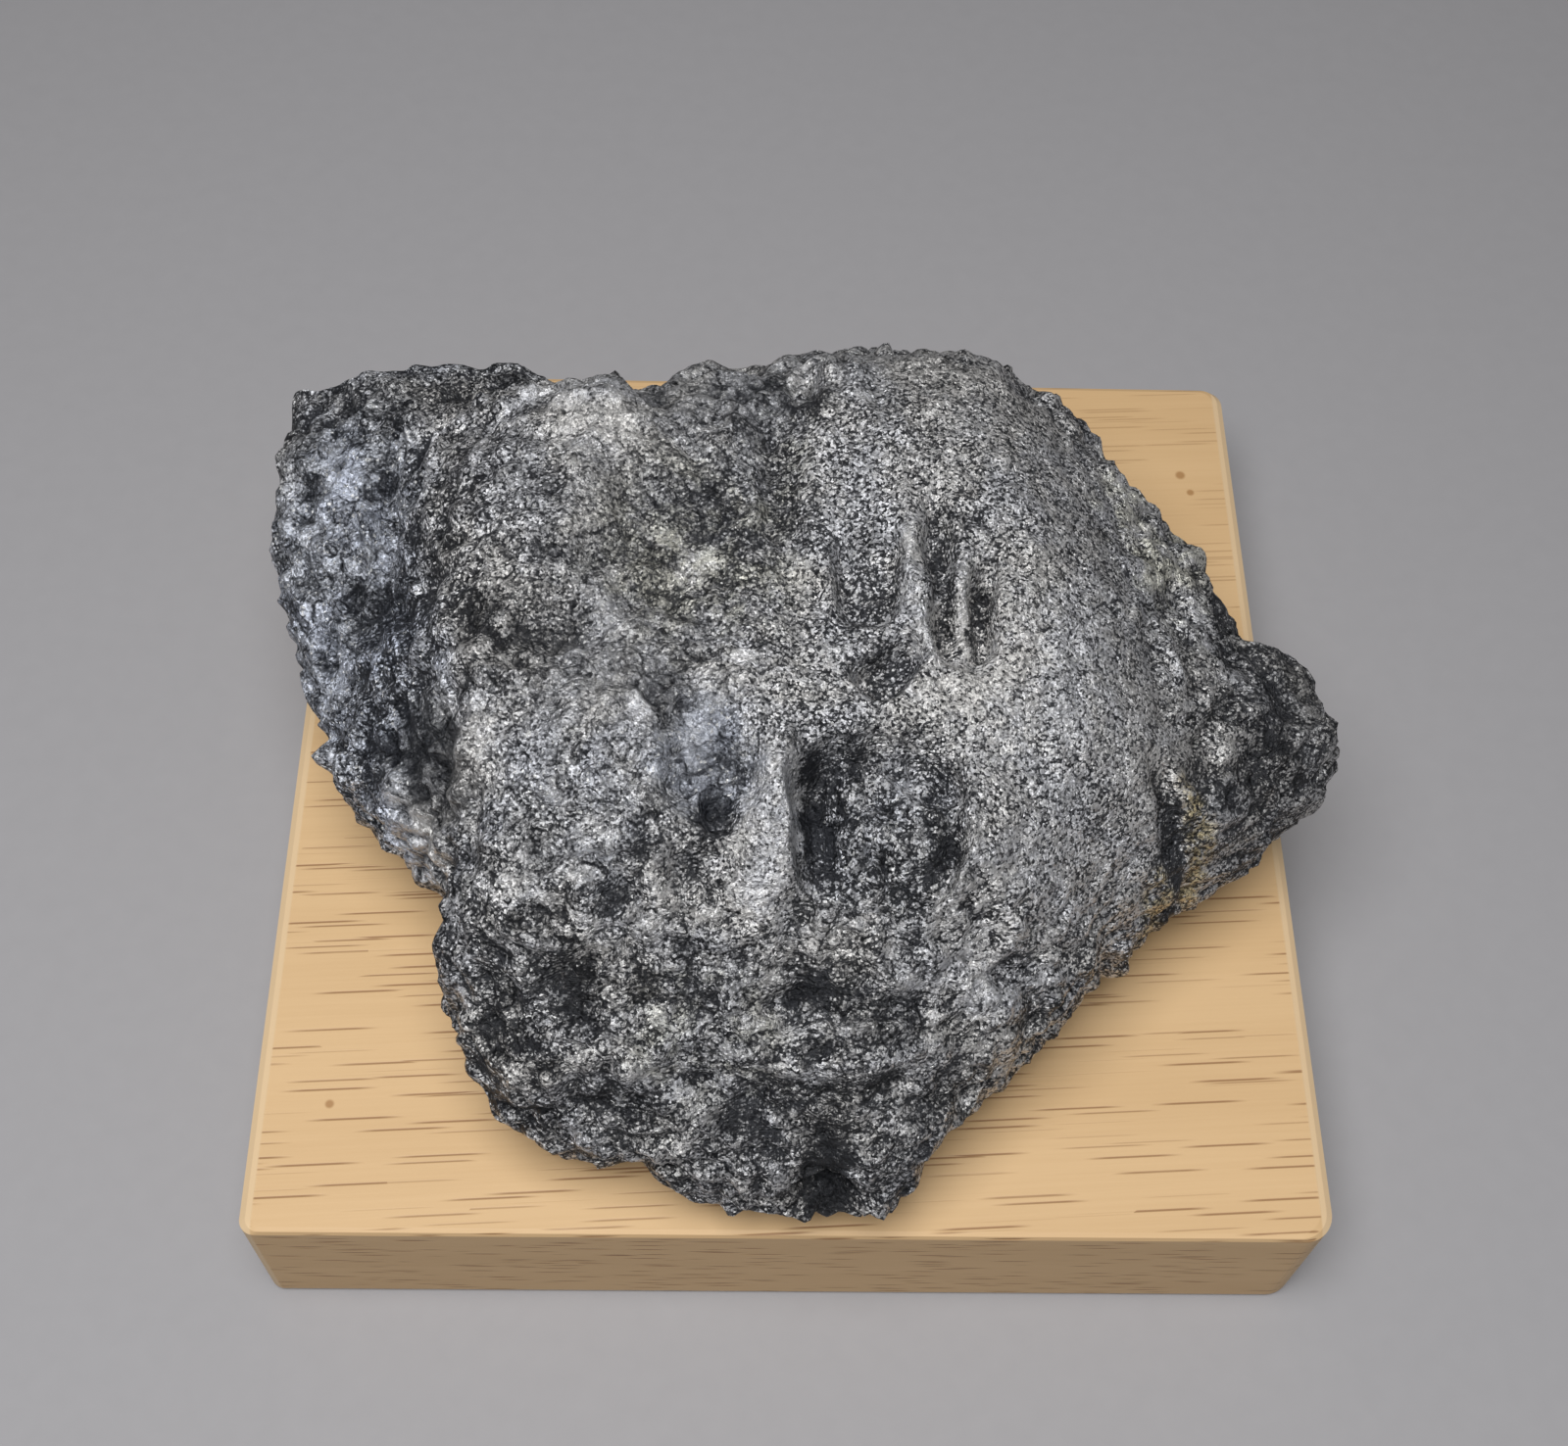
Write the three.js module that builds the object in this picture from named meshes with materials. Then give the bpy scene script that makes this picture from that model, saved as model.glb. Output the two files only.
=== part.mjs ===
// A gudmundite specimen: a rough stone of dark metallic grey sulphide lying on a square wooden display block.
// Millimetres, +Z up. The origin is the centre of the block's underside. X is to the right, Y to the back.
import * as THREE from "three";
import { mergeVertices } from "three/addons/utils/BufferGeometryUtils.js";

// Display block: a square of board, about 4 inches wide, with its grain along X
const blockWidth = 100;
const blockDepth = 100;
const blockHeight = 18;
const easedEdge = 0.6; // the rounding along the front and back edges
const endChamfer = 1.2; // the wider bevel across the grain, along the left and right edges
const cornerRounds = { frontLeft: 0.9, frontRight: 2.2, backRight: 1.4, backLeft: 1.1 };
const cornerSteps = 5;

// Stone: the widest outline from above, as x, y and height over the block, counter-clockwise from the nose
const rim = [
  [52, -8.5, 13], [47.7, -0.6, 16], [42.7, 2, 17], [39.4, 8, 17], [37.5, 12.8, 17], [31.8, 18.1, 16],
  [29.1, 24.1, 15], [19.7, 29.8, 15], [9.4, 31.3, 16], [-4, 28.6, 16], [-13.7, 24.6, 16], [-20.6, 24.9, 16],
  [-28.6, 35.6, 17], [-42, 40, 18], [-50.2, 33.9, 19], [-51.2, 19.5, 19], [-51.2, 9.8, 18], [-46.9, 1, 17],
  [-43.3, -8.5, 16], [-38, -19, 15], [-33.6, -23, 14], [-30.9, -26.6, 13], [-30.4, -36.3, 11],
  [-25.9, -43.3, 9], [-15.1, -46.3, 8], [-8.9, -47.8, 7], [-2, -49.9, 6], [6.2, -50.8, 6], [10.7, -46.9, 7],
  [14.3, -43.1, 8], [21, -38.4, 9], [27.8, -29.2, 11], [36, -22.3, 12], [46, -15.5, 12],
];
const axisAt = [0, -8]; // where the stone's middle axis stands
const boxiness = 0.5; // how square the stone's side is: 1 is an ellipse, 0 a box
const footShare = 0.76; // the foot's radius as a share of the rim's
const footSway = 0.05; // how much that share changes round the stone
const footFlare = 1.5; // how late the side draws in toward the foot
const footLift = 0.5; // how far the underside sags at its middle, where the block then holds it flat
const topStretch = 45; // how much of the faces the top gets, set against the height of the side and the foot
const sideStretch = 18;
const footStretch = 12;
const profileSteps = 1440; // steps in which the side's length is measured
const normalSquareness = 3; // how long the surface's normal stays upright on the way out to the rim
const faceCuts = 28; // rows of faces along each side of the cube that the stone is made from

// Broken faces of the upper side: height, slope along x, slope along y, and the point where they are measured
const brokenFaces = {
  plateau: [40, 0.02, 0.06, 0, 0],
  front: [37, 0, 0.95, 0, -31],
  left: [37, 1.5, 0, -33, 0],
  backLeft: [38, 0.42, -0.95, -27, 15],
  right: [38, -0.7, -0.1, 25, 0],
  frontRight: [36, -0.6, 0.6, 24, -24],
};
// Lower lobes that stand out past those faces, with the radius past which they fall away
const lobes = {
  backLobe: [27.4, 0.02, -0.08, -40, 26.5, 13],
  shelfTop: [28.5, 0.25, -0.05, -43, 15, 8],
  shelf: [26.5, 0.3, 0.05, -42, 1, 10],
  shelfLow: [24, 0.3, 0.2, -39, -12, 7],
  nose: [21, -0.25, 0.1, 44, -6, 9],
  lowRight: [19, -0.2, 0.3, 38, -17, 6],
};
const lobeFall = 1.3; // how steeply a lobe falls away
const faceBlend = 3; // how softly two broken faces meet
const lobeBlend = 3;

// Flat breaks of the sides, which take off what stands out past them:
// azimuth and elevation of the way they face, and a point on them
const sideBreaks = {
  backRight: [62, 12, 25, 27, 20],
  backMiddle: [94, -8, 4, 30.5, 18],
  backTop: [84, 42, 4, 27, 34],
  backLeft: [104, -14, -38, 39.2, 20],
  leftUnder: [196, -34, -44, 0, 8],
  leftBack: [170, -22, -50, 18, 16],
  frontLeft: [216, -22, -30, -33, 6],
  frontRightUnder: [312, -30, 24, -34, 6],
  rightUnder: [340, -38, 46, -12, 8],
  rightBack: [28, -24, 41, 10, 10],
  backUnder: [88, -46, 5, 25, 5],
};
const breakBlend = 1.2; // how softly a break meets the rest

// Pits, slots, ridges and swells of the upper side:
// x, y, half length, half width, turn in degrees, depth (up is positive), softness of the wall
const relief = {
  bigPit: [6.1, -26.2, 7.2, 6.6, 0, -4.2, 0.1],
  pitSlot: [1.3, -24.5, 1.5, 5.6, 8, -1.8, 0.4],
  pitRib: [4.4, -25, 0.9, 5, 6, 1.2, 0.5],
  pitShelf: [9.5, -27, 3.2, 4.5, 15, 1.4, 0.5],
  pitNook: [10.6, -21.5, 1.9, 2.4, 0, -1.4, 0.4],
  slotLeft: [11.8, -4.6, 0.95, 6.4, 3, -2.8, 0.5],
  slotRight: [15.3, -7.8, 1, 4.4, -3, -3, 0.5],
  slotFoot: [14, -10, 2.2, 3.6, 0, -1.2, 0.5],
  slotRib: [9.2, -4, 0.9, 9, 5, 0.7, 0.6],
  ovalPit: [7.1, -13.4, 2.8, 1.7, 35, -3.2, 0.35],
  shallowPit: [5.6, -4.8, 3, 3.8, 0, -2.3, 0.3],
  topHole: [0.3, 17, 1.2, 1.8, 0, -2.2, 0.5],
  channel: [-1.8, 7, 1.8, 9, -3, -1.2, 0.7],
  channelLow: [-0.5, -6, 1.4, 6, 8, -0.8, 0.8],
  scoop: [-7.6, -21.5, 3.7, 5, 10, -1.9, 0.35],
  scoopFoot: [-6.8, -25.4, 1.3, 2.2, 10, -1.2, 0.5],
  scoopTail: [-8.3, -31.5, 3, 2.6, 0, -0.8, 0.6],
  hollow: [-32.4, -16.4, 3.4, 5.6, 12, -2.4, 0.3],
  slit: [-37.8, 3, 1.2, 9, 2, -1.4, 0.6],
  crevice: [33, -21.8, 1.5, 4.6, 30, -3.4, 0.4],
  noseNotch: [41, 4, 2.2, 3.5, 10, -2.2, 0.6],
  frontHollow: [2, -38, 5.5, 2.6, 0, -1.8, 0.4],
  pitFoot: [14, -33.5, 2.5, 2, 0, -1.4, 0.5],
  patch: [-21, -9, 3.6, 3, 0, -1, 0.4],
  darkPatch: [-11, -14.8, 2.3, 2.3, 0, -0.9, 0.5],
  basin: [-10.5, -2, 7, 6, 10, -0.6, 0.8],
  gapBand: [-20.7, -28.5, 5.5, 2, 12, -1.2, 0.5],
  slabCrack: [-28.5, -31, 0.8, 8, -6, -2.4, 0.5],
  slabHole: [-25, -38.3, 2.2, 1.3, 20, -1.8, 0.4],
  leafGap: [-18, -36.6, 4.4, 1.1, 28, -1.8, 0.4],
  frontGroove: [6, -44, 8, 0.9, 3, -1.6, 0.5],
  leftGroove: [-13, -42.5, 7, 0.8, -8, -1.2, 0.5],
  edgeGroove: [24, -32.5, 7, 1.3, 40, -1.4, 0.5],
  backDip: [-20, 24, 4.5, 4, 0, -2.2, 0.7],
  dome: [16, 7, 15, 14, 0, 1.4, 0.9],
  leftMound: [-19, 13, 10, 6, 0, 0.8, 0.9],
  ridge: [-2.5, -28, 2.6, 7, -20, 1.2, 0.7],
  leftSwell: [-25, -2, 5, 12, 0, 1, 0.8],
  midMound: [-21, -19, 6, 6, 0, 1.2, 0.7],
  lowerMound: [-14, -31.5, 5, 3.2, 20, 1.4, 0.6],
  lowMound: [-14, -40, 9, 4, 0, 1.6, 0.6],
  slab: [-21, -43, 6, 2.4, 15, 1.4, 0.4],
  frontLedge: [4, -41.8, 10, 1.8, 4, 1.6, 0.5],
  noseKnob: [47, -2, 3.4, 3, 0, 2.6, 0.6],
  noseLedge: [44, -11, 5, 2.4, -25, 1.8, 0.5],
  rightRib: [34, 8, 1.6, 9, -14, 1.2, 0.6],
};
const pitSquareness = 2.8; // 2 is an ellipse, and more is squarer
const reliefWander = 0.9; // how far the edges of the relief stray
const reliefWanderSize = 3.6;

// Dents and knobs at the stone's edge: x, y, height, radius, depth along the surface's normal
const edgeDents = {
  frontPit: [2.7, -48.6, 10.5, 3.4, -4],
  frontLobe: [9, -48, 8, 3.6, 1.5],
  notch: [-33, -25, 14, 3, -1],
};
const dentEdge = 1.4; // where a dent ends, in radii

// Roughness: the size and height of the chips
const swellSize = 13;
const swellHeight = 1;
const chipStray = 1;
const chipStraySize = 5;
const largeChip = new THREE.Vector3(9, 9, 7);
const largeChipHeight = 1.7;
const smallChip = new THREE.Vector3(4.6, 4.6, 4.6);
const smallChipHeight = -0.8;
// Smoother areas of the upper side: x, y, half length, half width, how smooth.
// The rough spots inside them come last and are negative.
const smoothAreas = {
  dome: [13, 3, 17, 18, 1],
  lowerRight: [21, -17, 13, 14, 1],
  middle: [4, -14, 13, 12, 1],
  ridge: [-3, -27, 4, 8, 0.9],
  centre: [-14, 0, 13, 15, 0.7],
  lowerLeft: [-20, -21, 9, 7, 0.7],
  backLobe: [-37, 34, 11, 8, 0.6],
  bigPit: [6.1, -26.2, 7.5, 7, -0.9],
  slots: [13.5, -5.5, 3, 8, -0.7],
};
const smoothedBy = 0.75; // the share of the chips that the smooth areas lose
const smoothFrom = 1.3; // where a smooth area starts, in half lengths, and how wide its edge is
const smoothEdge = 0.6;
const smoothTopShare = 1.6; // how soon the smoothing ends on the way down the side

// Shape of a chip: how much its level and slope vary, how steeply it falls away, and the middle of its height
const chipLevel = 0.4;
const chipSlope = 0.7;
const chipFall = 1.2;
const chipMiddle = 0.35;
const noiseGain = 1.6; // brings the noise to about -1 to 1
// Places at which the noise and the chips are read, far enough apart to be unlike each other
const readAt = {
  reliefX: 5,
  reliefY: 63,
  stray: [3, 47, 91],
  largeChips: 11,
  smallChips: 5,
  chipPlace: 37,
  chipTilt: 401,
};

const woodMaterial = new THREE.MeshStandardMaterial({ color: 0xd0ad80, roughness: 0.55, metalness: 0 });
const stoneMaterial = new THREE.MeshStandardMaterial({ color: 0x6c6d70, roughness: 0.45, metalness: 0.6 });

const clamp = THREE.MathUtils.clamp;

function smoothStep(t) {
  const held = clamp(t, 0, 1);
  return held * held * (3 - 2 * held);
}

// The lower, or the higher, of two heights with the corner between them rounded over the given width
function softMin(a, b, width) {
  return 0.5 * (a + b - Math.hypot(a - b, width));
}
function softMax(a, b, width) {
  return 0.5 * (a + b + Math.hypot(a - b, width));
}

// Three numbers from 0 to 1 that always belong to the same cell of a grid
function cellNumbers(cell, salt) {
  let h = Math.imul(cell.x + salt, 73856093);
  h ^= Math.imul(cell.y + salt, 19349663);
  h ^= Math.imul(cell.z + salt, 83492791);
  h = Math.imul(h ^ (h >>> 13), 1274126177);
  h = Math.imul(h ^ (h >>> 15), 2246822519);
  h = (h ^ (h >>> 16)) >>> 0;
  return new THREE.Vector3(h & 1023, (h >>> 10) & 1023, (h >>> 20) & 1023).divideScalar(1023);
}

// Visits the cells from low to high round the one that holds p
function forCells(p, low, high, visit) {
  const home = p.clone().floor();
  for (let i = low; i <= high; i++) {
    for (let j = low; j <= high; j++) {
      for (let k = low; k <= high; k++) {
        visit(new THREE.Vector3(i, j, k).add(home), i, j, k);
      }
    }
  }
}

// Smooth noise, about -1 to 1: a slope belongs to each grid corner, and the eight nearest are blended
function noise(p) {
  const inside = p.clone().sub(p.clone().floor());
  const ease = (t) => t * t * t * (t * (t * 6 - 15) + 10);
  const share = (t, far) => (far ? ease(t) : 1 - ease(t));
  let sum = 0;
  forCells(p, 0, 1, (cell, i, j, k) => {
    const slope = cellNumbers(cell, 0).multiplyScalar(2).subScalar(1);
    const weight = share(inside.x, i) * share(inside.y, j) * share(inside.z, k);
    sum += weight * slope.dot(p.clone().sub(cell));
  });
  return noiseGain * sum;
}

// Flat-faced chips with narrow valleys between them, about -0.6 to 0.6: the highest of the tilted caps nearby
function chips(p) {
  let best = -Infinity;
  forCells(p, -1, 1, (cell) => {
    const offset = p.clone().sub(cell).sub(cellNumbers(cell, readAt.chipPlace));
    const tilt = cellNumbers(cell, readAt.chipTilt);
    const level = chipLevel * tilt.x;
    const slope = tilt.clone().multiplyScalar(2).subScalar(1);
    const fall = offset.lengthSq() ** 2;
    best = Math.max(best, level + chipSlope * slope.dot(offset) - chipFall * fall);
  });
  return best - chipMiddle;
}

// The same noise in three directions, to shift a point by
function strayed(p, size, amount) {
  const scaled = p.clone().divideScalar(size);
  const shift = readAt.stray.map((far) => noise(scaled.clone().addScalar(far)));
  return p.clone().add(new THREE.Vector3(...shift).multiplyScalar(amount));
}

// Height of the stone's upper side over the block at x, y
function topHeight(x, y) {
  let z = Infinity;
  for (const [height, slopeX, slopeY, atX, atY] of Object.values(brokenFaces)) {
    const face = height + slopeX * (x - atX) + slopeY * (y - atY);
    z = z === Infinity ? face : softMin(z, face, faceBlend);
  }
  for (const [height, slopeX, slopeY, atX, atY, radius] of Object.values(lobes)) {
    const past = Math.max(Math.hypot(x - atX, y - atY) - radius, 0);
    z = softMax(z, height + slopeX * (x - atX) + slopeY * (y - atY) - lobeFall * past, lobeBlend);
  }
  const at = new THREE.Vector3(x, y, 0).divideScalar(reliefWanderSize);
  const strayX = x + reliefWander * noise(at.clone().addScalar(readAt.reliefX));
  const strayY = y + reliefWander * noise(at.clone().addScalar(readAt.reliefY));
  for (const [midX, midY, halfX, halfY, turn, depth, soft] of Object.values(relief)) {
    const angle = THREE.MathUtils.degToRad(turn);
    const dx = strayX - midX;
    const dy = strayY - midY;
    const u = Math.abs((dx * Math.cos(angle) + dy * Math.sin(angle)) / halfX);
    const v = Math.abs((dy * Math.cos(angle) - dx * Math.sin(angle)) / halfY);
    const away = (u ** pitSquareness + v ** pitSquareness) ** (1 / pitSquareness);
    z += depth * smoothStep((1 + soft - away) / (2 * soft));
  }
  return z;
}

// Radius and height of the rim in the direction of an angle round the axis
const rimPolar = rim
  .map(([x, y, z]) => ({
    angle: Math.atan2(y - axisAt[1], x - axisAt[0]),
    radius: Math.hypot(x - axisAt[0], y - axisAt[1]),
    height: z,
  }))
  .sort((a, b) => a.angle - b.angle);

function rimAt(angle) {
  const after = rimPolar.findIndex((point) => point.angle > angle);
  const next = rimPolar[after < 0 ? 0 : after];
  const last = rimPolar.at((after < 0 ? 0 : after) - 1);
  const turn = (from, to) => THREE.MathUtils.euclideanModulo(to - from, 2 * Math.PI);
  const share = turn(last.angle, angle) / turn(last.angle, next.angle);
  return {
    radius: THREE.MathUtils.lerp(last.radius, next.radius, share),
    height: THREE.MathUtils.lerp(last.height, next.height, share),
  };
}

// The stone's side as a rounded box: how far out and how far up it is, at even steps from top to foot.
// The hidden underside gets wider steps than the rest.
function sideProfile() {
  const side = [{ length: 0, out: 0, up: 1 }];
  for (let i = 1; i <= profileSteps; i++) {
    const turn = (Math.PI * i) / profileSteps;
    const out = Math.max(0, Math.sin(turn)) ** boxiness;
    const up = Math.sign(Math.cos(turn)) * Math.abs(Math.cos(turn)) ** boxiness;
    const before = side[i - 1];
    const outStretch = turn > Math.PI / 2 ? footStretch : topStretch;
    const stretch = Math.hypot((out - before.out) * outStretch, (up - before.up) * sideStretch);
    side.push({ length: before.length + stretch, out, up });
  }
  return side;
}
const side = sideProfile();

function sideAt(share) {
  const goal = share * side.at(-1).length;
  const after = Math.max(1, side.findIndex((point) => point.length >= goal));
  const a = side[after - 1];
  const b = side[after];
  const t = clamp((goal - a.length) / (b.length - a.length), 0, 1);
  return { out: THREE.MathUtils.lerp(a.out, b.out, t), up: THREE.MathUtils.lerp(a.up, b.up, t) };
}

// The way a side break faces
function breakFacing(azimuth, elevation) {
  const polar = THREE.MathUtils.degToRad(90 - elevation);
  const turn = THREE.MathUtils.degToRad(azimuth);
  const outward = Math.sin(polar);
  return new THREE.Vector3(Math.cos(turn) * outward, Math.sin(turn) * outward, Math.cos(polar));
}

// Share of the chips that a point keeps: fewer in the smooth areas of the upper side
function roughnessAt(p, up) {
  let smooth = 0;
  for (const [x, y, halfX, halfY, share] of Object.values(smoothAreas)) {
    const away = Math.hypot((p.x - x) / halfX, (p.y - y) / halfY);
    const near = smoothStep((smoothFrom - away) / smoothEdge);
    smooth = share > 0 ? Math.max(smooth, share * near) : smooth * (1 + share * near);
  }
  return 1 - smoothedBy * smooth * smoothStep(up * smoothTopShare);
}

// The point of the stone's surface that lies in a direction, over the block
function stonePoint(direction) {
  const angle = Math.atan2(direction.y, direction.x);
  const { radius, height } = rimAt(angle);
  const { out, up } = sideAt(Math.acos(clamp(direction.z, -1, 1)) / Math.PI);
  const narrowing = (1 - footShare + footSway * Math.cos(2 * angle)) * clamp(-up, 0, 1) ** footFlare;
  const reach = out * radius * (1 - narrowing);
  const x = axisAt[0] + reach * Math.cos(angle);
  const y = axisAt[1] + reach * Math.sin(angle);
  const z = up >= 0 ? height + (topHeight(x, y) - height) * up : height * (1 + up) - footLift * up * up;
  const p = new THREE.Vector3(x, y, z);
  for (const [azimuth, elevation, ...at] of Object.values(sideBreaks)) {
    const facing = breakFacing(azimuth, elevation);
    const proud = p.clone().sub(new THREE.Vector3(...at)).dot(facing);
    p.addScaledVector(facing, -softMax(proud, 0, breakBlend));
  }
  const outward = out ** normalSquareness;
  const normal = new THREE.Vector3(Math.cos(angle) * outward, Math.sin(angle) * outward, up).normalize();
  for (const [atX, atY, atZ, size, depth] of Object.values(edgeDents)) {
    const away = p.distanceTo(new THREE.Vector3(atX, atY, atZ)) / size;
    p.addScaledVector(normal, depth * smoothStep(dentEdge - away));
  }
  const rough = roughnessAt(p, up);
  const stray = strayed(p, chipStraySize, chipStray);
  const large = largeChipHeight * chips(stray.clone().divide(largeChip).addScalar(readAt.largeChips));
  const small = smallChipHeight * chips(stray.clone().divide(smallChip).addScalar(readAt.smallChips));
  const swell = swellHeight * noise(p.clone().divideScalar(swellSize));
  p.addScaledVector(normal, swell + rough * (large + small));
  p.z = Math.max(p.z, 0);
  return p;
}

// A closed mesh with its vertices shared, from any geometry
function sharedVertices(geometry) {
  geometry.deleteAttribute("normal");
  geometry.deleteAttribute("uv");
  return mergeVertices(geometry, 1e-4);
}

// Each square of faces is two triangles, which come as a, b, d and b, c, d: they part along the shorter diagonal
function partSquares(geometry) {
  const position = geometry.getAttribute("position");
  const index = geometry.getIndex();
  const gap = (i, j) => {
    const from = new THREE.Vector3().fromBufferAttribute(position, i);
    return from.distanceTo(new THREE.Vector3().fromBufferAttribute(position, j));
  };
  for (let start = 0; start < index.count; start += 6) {
    const [a, b, d, c] = [0, 1, 2, 4].map((i) => index.getX(start + i));
    if (gap(a, c) < gap(b, d)) {
      [a, b, c, a, c, d].forEach((vertex, i) => index.setX(start + i, vertex));
    }
  }
}

// The stone is a cube of even rows of faces, blown up to a ball and then drawn out to the stone's surface
function stoneGeometry() {
  const geometry = sharedVertices(new THREE.BoxGeometry(2, 2, 2, faceCuts, faceCuts, faceCuts));
  const position = geometry.getAttribute("position");
  const even = (t) => Math.tan((t * Math.PI) / 4);
  for (let i = 0; i < position.count; i++) {
    const direction = new THREE.Vector3().fromBufferAttribute(position, i);
    direction.set(even(direction.x), even(direction.y), even(direction.z));
    const p = stonePoint(direction.normalize());
    position.setXYZ(i, p.x, p.y, p.z);
  }
  partSquares(geometry);
  geometry.computeVertexNormals();
  return geometry;
}

// The block is an outline with rounded corners, drawn up with eased edges that widen across the grain
function blockGeometry() {
  const halfX = blockWidth / 2 - easedEdge;
  const halfY = blockDepth / 2 - easedEdge;
  const outline = new THREE.Shape();
  const corners = [
    [1, -1, cornerRounds.frontRight, -0.5],
    [1, 1, cornerRounds.backRight, 0],
    [-1, 1, cornerRounds.backLeft, 0.5],
    [-1, -1, cornerRounds.frontLeft, 1],
  ];
  for (const [signX, signY, size, start] of corners) {
    const x = signX * (halfX - size);
    const y = signY * (halfY - size);
    outline.absarc(x, y, size, start * Math.PI, (start + 0.5) * Math.PI, false);
  }
  const geometry = new THREE.ExtrudeGeometry(outline, {
    depth: blockHeight - 2 * easedEdge,
    curveSegments: cornerSteps,
    bevelSize: easedEdge,
    bevelThickness: easedEdge,
    bevelSegments: 2,
  });
  geometry.translate(0, 0, easedEdge);
  const block = sharedVertices(geometry);
  const position = block.getAttribute("position");
  for (let i = 0; i < position.count; i++) {
    const x = position.getX(i);
    const inBevel = Math.max(easedEdge - position.getZ(i), position.getZ(i) - (blockHeight - easedEdge), 0);
    const extra = (endChamfer - easedEdge) * (inBevel / easedEdge);
    position.setX(i, x - Math.sign(x) * extra);
  }
  block.computeVertexNormals();
  return block;
}

const block = new THREE.Mesh(blockGeometry(), woodMaterial);
block.name = "display_block";

const stone = new THREE.Mesh(stoneGeometry(), stoneMaterial);
stone.name = "gudmundite_stone";
stone.position.z = blockHeight;

const group = new THREE.Group();
group.add(block, stone);

export default group;
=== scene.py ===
import bpy
import numpy as np
from mathutils import Matrix, Vector


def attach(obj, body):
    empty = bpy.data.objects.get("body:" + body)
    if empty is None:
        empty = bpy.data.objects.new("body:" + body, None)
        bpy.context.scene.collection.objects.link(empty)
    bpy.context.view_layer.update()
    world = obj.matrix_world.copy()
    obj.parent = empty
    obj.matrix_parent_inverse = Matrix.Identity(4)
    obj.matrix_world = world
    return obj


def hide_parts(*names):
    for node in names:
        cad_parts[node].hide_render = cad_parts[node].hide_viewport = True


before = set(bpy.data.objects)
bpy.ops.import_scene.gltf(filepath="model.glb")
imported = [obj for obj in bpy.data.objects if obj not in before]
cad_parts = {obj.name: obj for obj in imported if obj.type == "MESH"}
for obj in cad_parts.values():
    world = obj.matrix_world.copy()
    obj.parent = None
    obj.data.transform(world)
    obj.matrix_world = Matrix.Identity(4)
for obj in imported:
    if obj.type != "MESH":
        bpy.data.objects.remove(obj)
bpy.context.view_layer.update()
mm = 0.001
print("frame loaded:", sorted(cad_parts))

# Camera: the photograph's viewpoint, looking down on the front of the block
camera = {
    "position": (-6.378, -109.259, 208.086),
    "pitchDown": 59.1107,
    "yaw": 2.9804,
    "roll": -3.3259,
    "lens": 49.017,
    "sensorWidth": 36,
    "nearest": 10,  # what is closer isn't shown
}


def addCamera():
    pitch, yaw, roll = (np.radians(camera[k]) for k in ("pitchDown", "yaw", "roll"))
    ahead = np.array([np.sin(yaw) * np.cos(pitch), np.cos(yaw) * np.cos(pitch), -np.sin(pitch)])
    level = np.array([np.cos(yaw), -np.sin(yaw), 0])
    down = np.cross(ahead, level)
    right = level * np.cos(roll) + down * np.sin(roll)
    lower = down * np.cos(roll) - level * np.sin(roll)
    data = bpy.data.cameras.new("photoCamera")
    data.sensor_fit = "HORIZONTAL"
    data.sensor_width = camera["sensorWidth"]
    data.lens = camera["lens"]
    data.clip_start = camera["nearest"] * mm
    made = bpy.data.objects.new("photoCamera", data)
    turned = Matrix(np.stack([right, -lower, -ahead], 1).tolist()).to_4x4()
    made.matrix_world = Matrix.Translation(Vector(camera["position"]) * mm) @ turned
    bpy.context.scene.collection.objects.link(made)
    bpy.context.scene.camera = made


addCamera()
print("camera placed")


# Shader maths: a wire is one output of a node, and arithmetic on wires adds Math nodes
class Wire:
    def __init__(self, tree, socket):
        self.tree = tree
        self.socket = socket

    # any other node: its type, its settings, which are set first, and values or wires for its inputs
    def node(self, kind, settings, inputs, output=0):
        made = self.tree.nodes.new(kind)
        for name, value in settings.items():
            setattr(made, name, value)
        for name, value in inputs.items():
            if isinstance(value, Wire):
                self.tree.links.new(value.socket, made.inputs[name])
            else:
                made.inputs[name].default_value = value
        return Wire(self.tree, made.outputs[output])

    def math(self, operation, *values):
        return self.node("ShaderNodeMath", {"operation": operation}, dict(enumerate(values)))

    def __add__(self, other):
        return self.math("ADD", self, other)

    def __mul__(self, other):
        return self.math("MULTIPLY", self, other)

    def __sub__(self, other):
        return self.math("SUBTRACT", self, other)

    def __rsub__(self, other):
        return self.math("SUBTRACT", other, self)

    def __pow__(self, other):
        return self.math("POWER", self, other)

    # 0 below low, 1 above high, and a smooth rise between
    def rise(self, low, high):
        settings = {"interpolation_type": "SMOOTHSTEP"}
        return self.node("ShaderNodeMapRange", settings, {"Value": self, "From Min": low, "From Max": high})


def newMaterial(name):
    made = bpy.data.materials.new(name)
    made.use_nodes = True
    made.node_tree.nodes.clear()
    tree = made.node_tree
    place = Wire(tree, tree.nodes.new("ShaderNodeTexCoord").outputs["Object"])
    return made, place


def scaled(place, scale, turn=(0, 0, 0)):
    inputs = {"Vector": place, "Rotation": turn, "Scale": scale}
    return place.node("ShaderNodeMapping", {"vector_type": "POINT"}, inputs)


def blendColours(low, high, share):
    start = next(value for value in (share, low, high) if isinstance(value, Wire))
    settings = {"data_type": "RGBA", "blend_type": "MIX"}
    return start.node("ShaderNodeMix", settings, {0: share, 6: asColour(low), 7: asColour(high)}, 2)


def timesColour(colour, factor):
    return colour.node("ShaderNodeVectorMath", {"operation": "SCALE"}, {0: colour, "Scale": factor})


def tinted(colour, tint, share):
    times = colour.node("ShaderNodeVectorMath", {"operation": "MULTIPLY"}, {0: colour, 1: tint})
    return blendColours(colour, times, share)


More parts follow.
